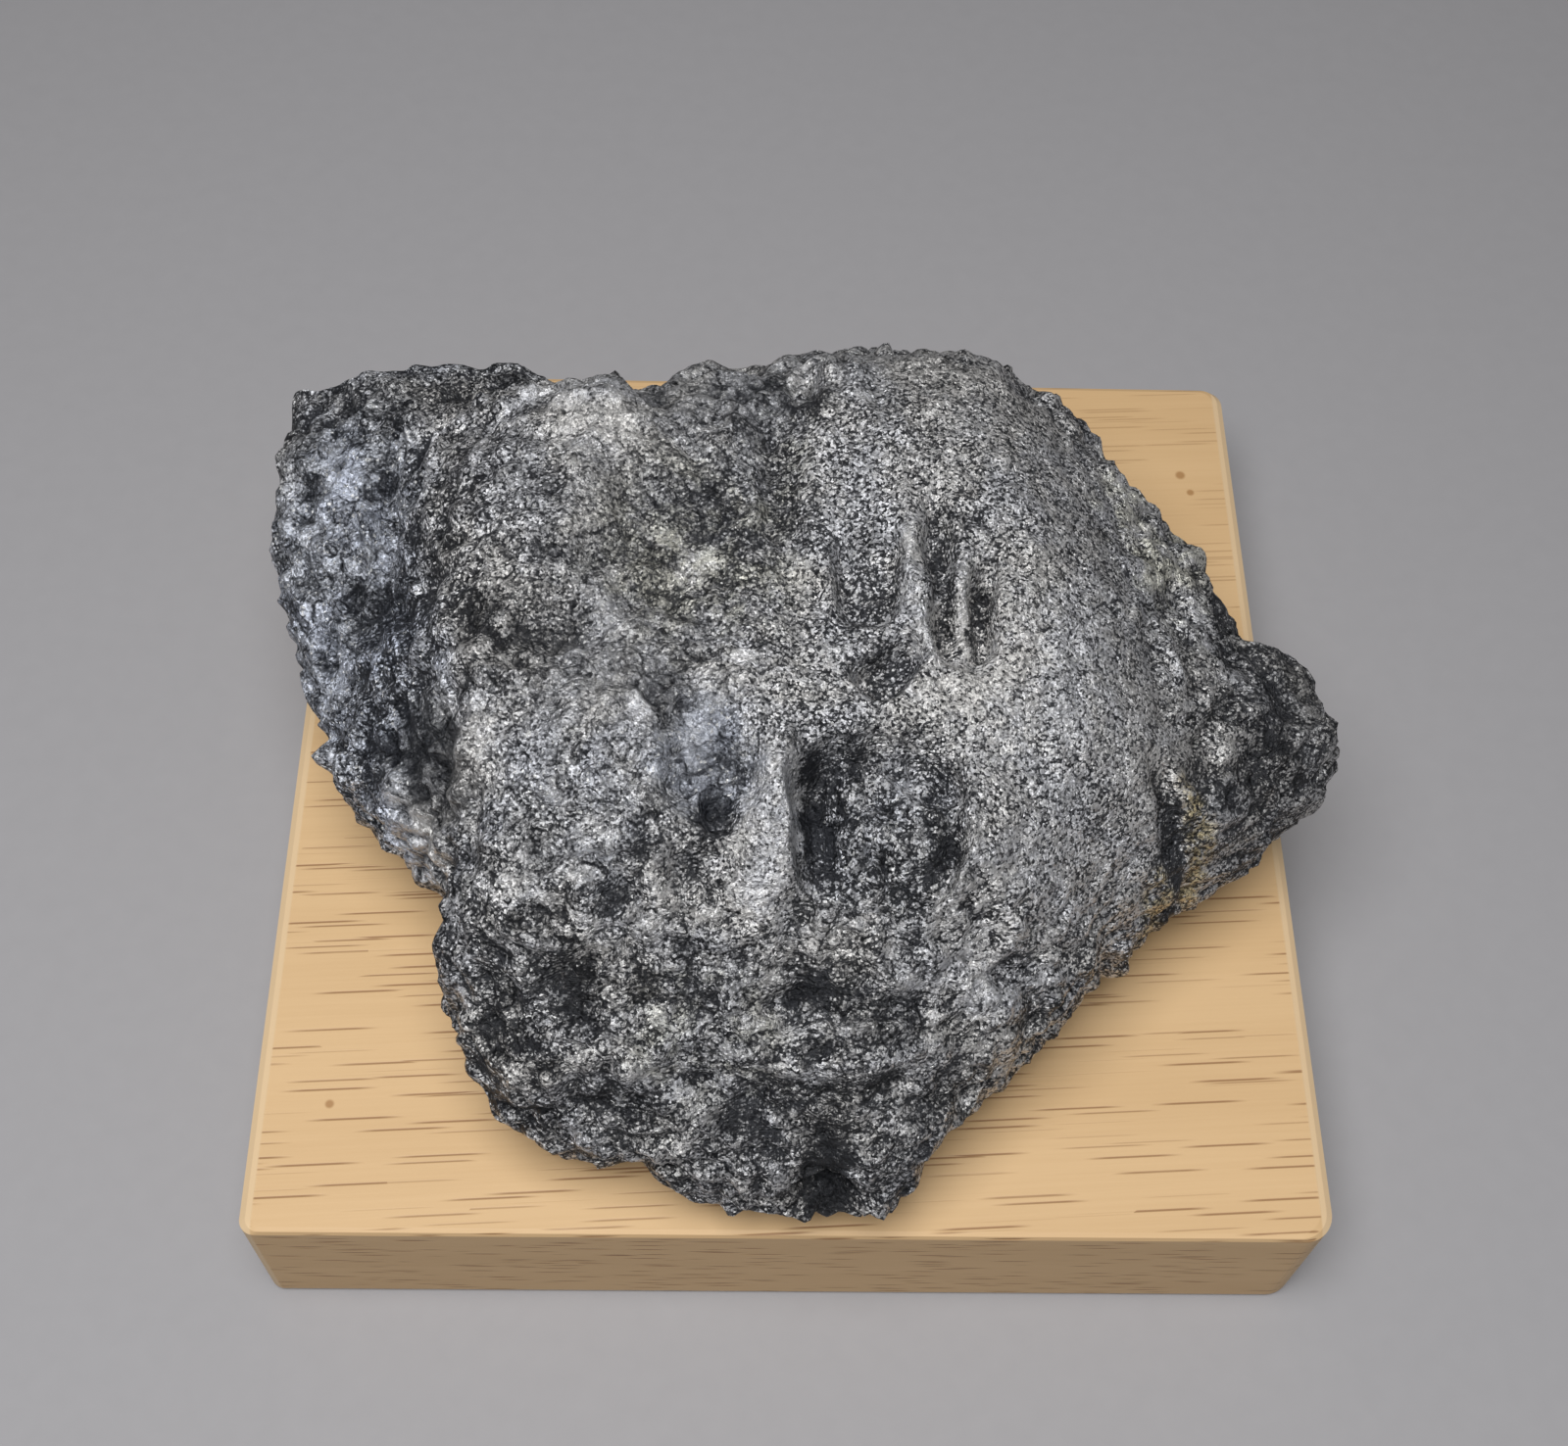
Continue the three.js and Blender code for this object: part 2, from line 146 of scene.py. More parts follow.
def strayed(place, stray, amount):
    moved = {0: stray, 1: (amount,) * 3, 2: place}
    return place.node("ShaderNodeVectorMath", {"operation": "MULTIPLY_ADD"}, moved)


def asColour(value):
    return value if isinstance(value, Wire) else (*value, 1)


def finishMaterial(made, sockets, fixed):
    shader = made.node_tree.nodes.new("ShaderNodeBsdfPrincipled")
    output = made.node_tree.nodes.new("ShaderNodeOutputMaterial")
    made.node_tree.links.new(shader.outputs["BSDF"], output.inputs["Surface"])
    for name, value in fixed.items():
        shader.inputs[name].default_value = value
    for name, wire in sockets.items():
        made.node_tree.links.new(wire.socket, shader.inputs[name])
    return made


# The stone: one closed surface, worked out from its outline, broken faces, lobes, side breaks and relief
blockTop = 18
stone = {
    # widest outline seen from above: x, y and height over the block in mm, counter-clockwise from the nose
    "rim": [
        (52, -8.5, 13), (47.7, -0.6, 16), (42.7, 2, 17), (39.4, 8, 17), (37.5, 12.8, 17), (31.8, 18.1, 16),
        (29.1, 24.1, 15), (19.7, 29.8, 15), (9.4, 31.3, 16), (-4, 28.6, 16), (-13.7, 24.6, 16),
        (-20.6, 24.9, 16), (-28.6, 35.6, 17), (-42, 40, 18), (-50.2, 33.9, 19), (-51.2, 19.5, 19),
        (-51.2, 9.8, 18), (-46.9, 1, 17), (-43.3, -8.5, 16), (-38, -19, 15), (-33.6, -23, 14),
        (-30.9, -26.6, 13), (-30.4, -36.3, 11), (-25.9, -43.3, 9), (-15.1, -46.3, 8), (-8.9, -47.8, 7),
        (-2, -49.9, 6), (6.2, -50.8, 6), (10.7, -46.9, 7), (14.3, -43.1, 8), (21, -38.4, 9),
        (27.8, -29.2, 11), (36, -22.3, 12), (46, -15.5, 12),
    ],
    "axisAt": (0, -8),
    "boxiness": 0.5,  # how square the side is: 1 is an ellipse, 0 a box
    "footShare": 0.76,  # the foot's radius as a share of the rim's, and how it changes round the stone
    "footSway": 0.05,
    "footFlare": 1.5,  # how late the side draws in toward the foot
    "footLift": 0.5,  # how far the underside sags, where the block then holds it flat
    # mm of surface that the top, the side and the foot get their share of points by
    "topStretch": 45,
    "sideStretch": 18,
    "footStretch": 12,
    "profileSteps": 1440,  # steps in which the side's length is measured
    "normalSquareness": 3,  # how long the normal stays upright on the way out to the rim
    # broken faces of the upper side: height, slope along x and y, and where they are measured
    "brokenFaces": {
        "plateau": (40, 0.02, 0.06, 0, 0),
        "front": (37, 0, 0.95, 0, -31),
        "left": (37, 1.5, 0, -33, 0),
        "backLeft": (38, 0.42, -0.95, -27, 15),
        "right": (38, -0.7, -0.1, 25, 0),
        "frontRight": (36, -0.6, 0.6, 24, -24),
    },
    # lower lobes that stand out past those faces, with a radius past which they fall away
    "lobes": {
        "backLobe": (27.4, 0.02, -0.08, -40, 26.5, 13),
        "shelfTop": (28.5, 0.25, -0.05, -43, 15, 8),
        "shelf": (26.5, 0.3, 0.05, -42, 1, 10),
        "shelfLow": (24, 0.3, 0.2, -39, -12, 7),
        "nose": (21, -0.25, 0.1, 44, -6, 9),
        "lowRight": (19, -0.2, 0.3, 38, -17, 6),
    },
    "lobeFall": 1.3,  # how steeply a lobe falls away
    "faceBlend": 3,  # how softly two broken faces meet
    "lobeBlend": 3,
    # flat breaks of the sides, which trim what stands out past them: azimuth and elevation of the way
    # they face, a point on them, and how softly they cut
    "sideBreaks": {
        "backRight": (62, 12, 25, 27, 20),
        "backMiddle": (94, -8, 4, 30.5, 18),
        "backTop": (84, 42, 4, 27, 34),
        "backLeft": (104, -14, -38, 39.2, 20),
        "leftUnder": (196, -34, -44, 0, 8),
        "leftBack": (170, -22, -50, 18, 16),
        "frontLeft": (216, -22, -30, -33, 6),
        "frontRightUnder": (312, -30, 24, -34, 6),
        "rightUnder": (340, -38, 46, -12, 8),
        "rightBack": (28, -24, 41, 10, 10),
        "backUnder": (88, -46, 5, 25, 5),
    },
    "breakBlend": 1.2,
    # pits, slots, ridges and swells of the upper side: x, y, half length, half width, turn in degrees,
    # depth with up as positive, softness of the wall
    "relief": {
        "bigPit": (6.1, -26.2, 7.2, 6.6, 0, -4.2, 0.1),
        "pitSlot": (1.3, -24.5, 1.5, 5.6, 8, -1.8, 0.4),
        "pitRib": (4.4, -25, 0.9, 5, 6, 1.2, 0.5),
        "pitShelf": (9.5, -27, 3.2, 4.5, 15, 1.4, 0.5),
        "pitNook": (10.6, -21.5, 1.9, 2.4, 0, -1.4, 0.4),
        "slotLeft": (11.8, -4.6, 0.95, 6.4, 3, -2.8, 0.5),
        "slotRight": (15.3, -7.8, 1.0, 4.4, -3, -3.0, 0.5),
        "slotFoot": (14.0, -10, 2.2, 3.6, 0, -1.2, 0.5),
        "slotRib": (9.2, -4, 0.9, 9, 5, 0.7, 0.6),
        "ovalPit": (7.1, -13.4, 2.8, 1.7, 35, -3.2, 0.35),
        "shallowPit": (5.6, -4.8, 3.0, 3.8, 0, -2.3, 0.3),
        "topHole": (0.3, 17, 1.2, 1.8, 0, -2.2, 0.5),
        "channel": (-1.8, 7, 1.8, 9, -3, -1.2, 0.7),
        "channelLow": (-0.5, -6, 1.4, 6, 8, -0.8, 0.8),
        "scoop": (-7.6, -21.5, 3.7, 5.0, 10, -1.9, 0.35),
        "scoopFoot": (-6.8, -25.4, 1.3, 2.2, 10, -1.2, 0.5),
        "scoopTail": (-8.3, -31.5, 3.0, 2.6, 0, -0.8, 0.6),
        "hollow": (-32.4, -16.4, 3.4, 5.6, 12, -2.4, 0.3),
        "slit": (-37.8, 3, 1.2, 9, 2, -1.4, 0.6),
        "crevice": (33.0, -21.8, 1.5, 4.6, 30, -3.4, 0.4),
        "noseNotch": (41, 4, 2.2, 3.5, 10, -2.2, 0.6),
        "frontHollow": (2, -38, 5.5, 2.6, 0, -1.8, 0.4),
        "pitFoot": (14, -33.5, 2.5, 2.0, 0, -1.4, 0.5),
        "patch": (-21, -9, 3.6, 3.0, 0, -1.0, 0.4),
        "darkPatch": (-11, -14.8, 2.3, 2.3, 0, -0.9, 0.5),
        "basin": (-10.5, -2, 7, 6, 10, -0.6, 0.8),
        "gapBand": (-20.7, -28.5, 5.5, 2.0, 12, -1.2, 0.5),
        "slabCrack": (-28.5, -31, 0.8, 8, -6, -2.4, 0.5),
        "slabHole": (-25, -38.3, 2.2, 1.3, 20, -1.8, 0.4),
        "leafGap": (-18, -36.6, 4.4, 1.1, 28, -1.8, 0.4),
        "frontGroove": (6, -44, 8, 0.9, 3, -1.6, 0.5),
        "leftGroove": (-13, -42.5, 7, 0.8, -8, -1.2, 0.5),
        "edgeGroove": (24, -32.5, 7, 1.3, 40, -1.4, 0.5),
        "backDip": (-20, 24, 4.5, 4, 0, -2.2, 0.7),
        "dome": (16, 7, 15, 14, 0, 1.4, 0.9),
        "leftMound": (-19, 13, 10, 6, 0, 0.8, 0.9),
        "ridge": (-2.5, -28, 2.6, 7, -20, 1.2, 0.7),
        "leftSwell": (-25, -2, 5, 12, 0, 1.0, 0.8),
        "midMound": (-21, -19, 6, 6, 0, 1.2, 0.7),
        "lowerMound": (-14, -31.5, 5, 3.2, 20, 1.4, 0.6),
        "lowMound": (-14, -40, 9, 4, 0, 1.6, 0.6),
        "slab": (-21, -43, 6, 2.4, 15, 1.4, 0.4),
        "frontLedge": (4, -41.8, 10, 1.8, 4, 1.6, 0.5),
        "noseKnob": (47, -2, 3.4, 3.0, 0, 2.6, 0.6),
        "noseLedge": (44, -11, 5, 2.4, -25, 1.8, 0.5),
        "rightRib": (34, 8, 1.6, 9, -14, 1.2, 0.6),
    },
    "pitSquareness": 2.8,  # 2 is an ellipse, and more is squarer
    "reliefWander": 0.9,  # how far the edges of the relief stray
    "reliefWanderSize": 3.6,
    # dents and knobs at the stone's edge: x, y, height, radius, depth along the normal
    "edgeDents": {
        "frontPit": (2.7, -48.6, 10.5, 3.4, -4.0),
        "frontLobe": (9, -48, 8, 3.6, 1.5),
        "notch": (-33, -25, 14, 3, -1.0),
    },
    "dentEdge": 1.4,  # where a dent ends, in radii
    # the layers of the surface from large to small, with the size and height of each
    "swellSize": 13,
    "swellHeight": 1.0,
    "chipStray": 1.0,  # how far the chips' places wander
    "chipStraySize": 5,
    "largeChip": (9, 9, 7),
    "largeChipHeight": 1.7,
    "smallChip": (4.6, 4.6, 4.6),
    "smallChipHeight": -0.8,
    "fineChip": (3.6, 3.0, 2.2),
    "fineChipHeight": 0.85,
    "fineChipsFrom": 0.12,
    "fineGapScale": 1.2,
    "fineGapShare": 0.5,
    "grainChip": 1.25,
    "grainChipHeight": 0.34,
    "grainChipEverywhere": 0.4,
    "grainChipRough": 0.2,
    "creaseSize": 2.6,
    "creaseDepth": 1.3,
    "creaseMiddle": 0.25,
    "creaseEverywhere": 0.1,
    # height under the middle at which a valley's painted shade starts, and over how much more it is full
    "valleyFrom": 0.05,
    "valleyRange": 0.55,
    # areas where the stone is only finely grained: x, y, half length, half width, how smooth, with the
    # rough areas within them as negative
    "smoothAreas": {
        "dome": (13, 3, 17, 18, 1),
        "lowerRight": (21, -17, 13, 14, 1),
        "middle": (4, -14, 13, 12, 1),
        "ridge": (-3, -27, 4, 8, 0.9),
        "centre": (-14, 0, 13, 15, 0.7),
        "lowerLeft": (-20, -21, 9, 7, 0.7),
        "backLobe": (-37, 34, 11, 8, 0.6),
        "bigPit": (6.1, -26.2, 7.5, 7, -0.9),
        "slots": (13.5, -5.5, 3, 8, -0.7),
    },
    "smoothedBy": 0.75,  # the share of the chips that the smooth areas lose
    "smoothFrom": 1.3,  # where a smooth area starts, in half lengths, and how wide its edge is
    "smoothEdge": 0.6,
    "smoothTopShare": 1.6,  # how soon the smoothing ends on the way down the side
}


# 0 below 0, 1 above 1, and three t squared less two t cubed between
def smoothStep(t):
    held = np.clip(t, 0, 1)
    return held * held * (3 - 2 * held)


# The lower, or the higher, of two heights with the corner rounded: half of their sum, less or plus half the
# root of their gap squared plus the width squared
def softMin(a, b, width):
    return 0.5 * (a + b - np.hypot(a - b, width))


def softMax(a, b, width):
    return 0.5 * (a + b + np.hypot(a - b, width))


noiseGain = 1.6  # brings the noise to about -1 to 1
chipShape = {"level": 0.4, "slope": 0.7, "fall": 1.2, "middle": 0.35}
# places at which the noise and the chips are read, far enough apart to be unlike each other
readAt = {
    "reliefX": 5,
    "reliefY": 63,
    "stray": (3, 47, 91),
    "largeChips": 11,
    "smallChips": 5,
    "fineChips": 17,
    "fineGaps": 57,
    "grainChips": 29,
    "creases": 41,
    "chipPlace": 37,
    "chipTilt": 401,
    "zoneX": (7, 19),
    "zoneY": (71, 83),
}


# Three numbers from 0 to 1 that always belong to the same cell of a grid: the cell's whole coordinates are
# multiplied by large odd numbers, shifted and mixed, and ten bits of the result make each number
def cellNumbers(cell, salt):
    c = ((cell + salt).astype(np.int64) & 0xffffffff).astype(np.uint32)
    h = c[..., 0] * np.uint32(73856093) ^ c[..., 1] * np.uint32(19349663) ^ c[..., 2] * np.uint32(83492791)
    h = (h ^ (h >> np.uint32(13))) * np.uint32(1274126177)
    h = (h ^ (h >> np.uint32(15))) * np.uint32(2246822519)
    h = h ^ (h >> np.uint32(16))
    low = np.uint32(1023)
    return np.stack([h & low, (h >> np.uint32(10)) & low, (h >> np.uint32(20)) & low], -1) / 1023


def neighbours(low, high):
    span = range(low, high + 1)
    return [np.array([i, j, k]) for i in span for j in span for k in span]


# Smooth noise, about -1 to 1: each corner of the point's grid cell has a slope, and slope times distance is
# added up over the eight corners, each weighted by 6 t^5 - 15 t^4 + 10 t^3 along every axis
def noise(p):
    home = np.floor(p)
    inside = p - home
    ease = inside**3 * (inside * (inside * 6 - 15) + 10)
    total = 0
    for corner in neighbours(0, 1):
        weight = np.prod(np.where(corner == 1, ease, 1 - ease), -1)
        slope = cellNumbers(home + corner, 0) * 2 - 1
        total = total + weight * (slope * (inside - corner)).sum(-1)
    return noiseGain * total


# Flat chips with narrow valleys between them: every cell nearby holds a tilted cap, its level plus its slope
# times the distance less its fall times the distance to the fourth power, and the highest cap is the surface
def chips(p):
    home = np.floor(p)
    best = np.full(p.shape[:-1], -np.inf)
    for step in neighbours(-1, 1):
        cell = home + step
        offset = p - cell - cellNumbers(cell, readAt["chipPlace"])
        tilt = cellNumbers(cell, readAt["chipTilt"])
        fall = (offset * offset).sum(-1) ** 2
        leaning = chipShape["slope"] * ((tilt * 2 - 1) * offset).sum(-1)
        best = np.maximum(best, chipShape["level"] * tilt[..., 0] + leaning - chipShape["fall"] * fall)
    return best - chipShape["middle"]


# Height of the upper side: the lowest of the broken faces, which are planes, or a lobe where that is higher,
# a plane that falls away past its radius. Each patch of relief then adds its depth times a smooth step of
# its rounded-square distance, the root of order n of u^n + v^n.
def topHeight(x, y):
    z = None
    for height, slopeX, slopeY, atX, atY in stone["brokenFaces"].values():
        face = height + slopeX * (x - atX) + slopeY * (y - atY)
        z = face if z is None else softMin(z, face, stone["faceBlend"])
    for height, slopeX, slopeY, atX, atY, radius in stone["lobes"].values():
        past = np.maximum(np.hypot(x - atX, y - atY) - radius, 0)
        lobe = height + slopeX * (x - atX) + slopeY * (y - atY) - stone["lobeFall"] * past
        z = softMax(z, lobe, stone["lobeBlend"])
    at = np.stack([x, y, 0 * x], -1) / stone["reliefWanderSize"]
    strayX = x + stone["reliefWander"] * noise(at + readAt["reliefX"])
    strayY = y + stone["reliefWander"] * noise(at + readAt["reliefY"])
    power = stone["pitSquareness"]
    for midX, midY, halfX, halfY, turn, depth, soft in stone["relief"].values():
        angle = np.radians(turn)
        dx, dy = strayX - midX, strayY - midY
        u = np.abs((dx * np.cos(angle) + dy * np.sin(angle)) / halfX)
        v = np.abs((dy * np.cos(angle) - dx * np.sin(angle)) / halfY)
        away = (u**power + v**power) ** (1 / power)
        z = z + depth * smoothStep((1 + soft - away) / (2 * soft))
    return z


# The side as a rounded box: out is the sine and up the cosine of a half turn, both to the power of boxiness,
# against the length run along it, in which the hidden foot counts for less
def sideProfile():
    turn = np.linspace(0, np.pi, stone["profileSteps"] + 1)
    out = np.maximum(0, np.sin(turn)) ** stone["boxiness"]
    up = np.sign(np.cos(turn)) * np.abs(np.cos(turn)) ** stone["boxiness"]
    outScale = np.where(turn[1:] > np.pi / 2, stone["footStretch"], stone["topStretch"])
    length = np.append(0, np.cumsum(np.hypot(np.diff(out) * outScale, np.diff(up) * stone["sideStretch"])))
    return length / length[-1], out, up


# Share of the chips that a point keeps: 1 less the smoothness of the areas it lies in, each a smooth step of
# its elliptic distance, which fades down the side
def roughnessAt(p, up):
    smooth = np.zeros(p.shape[:-1])
    for x, y, halfX, halfY, share in stone["smoothAreas"].values():
        away = np.hypot((p[..., 0] - x) / halfX, (p[..., 1] - y) / halfY)
        near = smoothStep((stone["smoothFrom"] - away) / stone["smoothEdge"])
        smooth = np.maximum(smooth, share * near) if share > 0 else smooth * (1 + share * near)
    return 1 - stone["smoothedBy"] * smooth * smoothStep(up * stone["smoothTopShare"])


# Directions over the whole ball: the points (1, tan a, tan b) of each face of a cube, a and b in even steps
# from -45 to 45 degrees, brought to length 1
def cubeDirections(cuts):
    t = np.tan(np.linspace(-1, 1, cuts + 1) * np.pi / 4)
    a, b = np.meshgrid(t, t, indexing="ij")
    one = np.ones_like(a)
    faces = [(one, a, b), (-one, b, a), (b, one, a), (a, -one, b), (a, b, one), (b, a, -one)]
    d = np.stack([np.stack(f, -1) for f in faces])
    return d / np.linalg.norm(d, axis=-1, keepdims=True)


# The surface in each direction. The azimuth gives the rim's radius and height, and the angle from the top
# gives the place along the side's profile. Above the rim, height is rim + (top - rim) * up, below it
# rim * (1 + up). A side break then takes off what stands out past it, and dents, swell, chips and creases
# move the point along the surface's rough normal. Valley shade is 1 where the fine layers are lowest, for
# painted shade.
def stonePoints(direction):
    angle = np.arctan2(direction[..., 1], direction[..., 0])
    rim = np.array(stone["rim"], float)
    axisAt = np.array(stone["axisAt"])
    away = rim[:, :2] - axisAt
    rimAngle = np.arctan2(away[:, 1], away[:, 0])
    turn = 2 * np.pi
    radius = np.interp(angle, rimAngle, np.hypot(*away.T), period=turn)
    height = np.interp(angle, rimAngle, rim[:, 2], period=turn)
    share = np.arccos(np.clip(direction[..., 2], -1, 1)) / np.pi
    length, outs, ups = sideProfile()
    out, up = np.interp(share, length, outs), np.interp(share, length, ups)
    narrowing = 1 - stone["footShare"] + stone["footSway"] * np.cos(2 * angle)
    narrowing = narrowing * np.clip(-up, 0, 1) ** stone["footFlare"]
    reach = out * radius * (1 - narrowing)
    x = axisAt[0] + reach * np.cos(angle)
    y = axisAt[1] + reach * np.sin(angle)
    above = height + (topHeight(x, y) - height) * up
    below = height * (1 + up) - stone["footLift"] * up * up
    z = np.where(up >= 0, above, below)
    p = np.stack([x, y, z], -1)
    for azimuth, elevation, atX, atY, atZ in stone["sideBreaks"].values():
        a, e = np.radians(azimuth), np.radians(elevation)
        facing = np.array([np.cos(a) * np.cos(e), np.sin(a) * np.cos(e), np.sin(e)])
        proud = (p - np.array([atX, atY, atZ])) @ facing
        p = p - softMax(proud, 0 * proud, stone["breakBlend"])[..., None] * facing
    outward = out ** stone["normalSquareness"]
    normal = np.stack([np.cos(angle) * outward, np.sin(angle) * outward, up], -1)
    normal /= np.linalg.norm(normal, axis=-1, keepdims=True)
    for atX, atY, atZ, size, depth in stone["edgeDents"].values():
        q = np.linalg.norm(p - np.array([atX, atY, atZ]), axis=-1) / size
        p = p + normal * (depth * smoothStep(stone["dentEdge"] - q))[..., None]
    rough = roughnessAt(p, up)
    shift = np.stack([noise(p / stone["chipStraySize"] + far) for far in readAt["stray"]], -1)
    stray = p + stone["chipStray"] * shift
    large = stone["largeChipHeight"] * chips(stray / np.array(stone["largeChip"]) + readAt["largeChips"])
    small = stone["smallChipHeight"] * chips(stray / np.array(stone["smallChip"]) + readAt["smallChips"])
    swell = stone["swellHeight"] * noise(p / stone["swellSize"])
    move = swell + rough * (large + small)
    flakes = stray / np.array(stone["fineChip"])
    gaps = chips(flakes * stone["fineGapScale"] + readAt["fineGaps"])
    fineChips = stone["fineChipHeight"] * (chips(flakes + readAt["fineChips"]) - stone["fineGapShare"] * gaps)
    grainChips = stone["grainChipHeight"] * chips(stray / stone["grainChip"] + readAt["grainChips"])
    folds = np.abs(noise(stray / stone["creaseSize"] + readAt["creases"])) - stone["creaseMiddle"]
    creases = stone["creaseDepth"] * folds
    detail = (rough - stone["fineChipsFrom"]) * fineChips + (rough + stone["creaseEverywhere"]) * creases
    detail = detail + (stone["grainChipEverywhere"] + stone["grainChipRough"] * rough) * grainChips
    p = p + normal * (move + detail)[..., None]
    p[..., 2] = np.maximum(p[..., 2], 0)
    # mask for the painted shade in the valleys, where the fine layers are lowest
    low = (stone["valleyFrom"] - rough * small - detail) / stone["valleyRange"]
    return p, up, rough, smoothStep(low) * rough


# The stone's mesh: six square sheets of points, one for each face of a cube, sewn along their edges
def stoneMesh(cuts):
    points, up, rough, valley = stonePoints(cubeDirections(cuts))
    flat = points.reshape(-1, 3)
    key = np.round(cubeDirections(cuts).reshape(-1, 3), 7)
    unique, first, shared = np.unique(key, axis=0, return_index=True, return_inverse=True)
    shared = shared.reshape(6, cuts + 1, cuts + 1)
    quads = np.stack([shared[:, :-1, :-1], shared[:, 1:, :-1], shared[:, 1:, 1:], shared[:, :-1, 1:]], -1)
    place = flat[first]
    place[:, 2] += blockTop
    mesh = bpy.data.meshes.new("gudmundite_lump")
    mesh.from_pydata((place * mm).tolist(), [], quads.reshape(-1, 4).tolist())
    mesh.polygons.foreach_set("use_smooth", np.ones(len(mesh.polygons), bool))
    fields = stoneZones(place - [0, 0, blockTop], up.reshape(-1)[first])
    fields.update(rough=rough.reshape(-1)[first], valley=valley.reshape(-1)[first])
    for name in stoneFields:
        mesh.attributes.new(name, "FLOAT", "POINT").data.foreach_set("value", fields[name].astype(np.float32))
    mesh.update()
    return mesh


stoneFields = ("toneAndPaintedShade", "olive", "ochre", "paintedBlueSheen", "level", "upright", "calm", "rough", "valley")

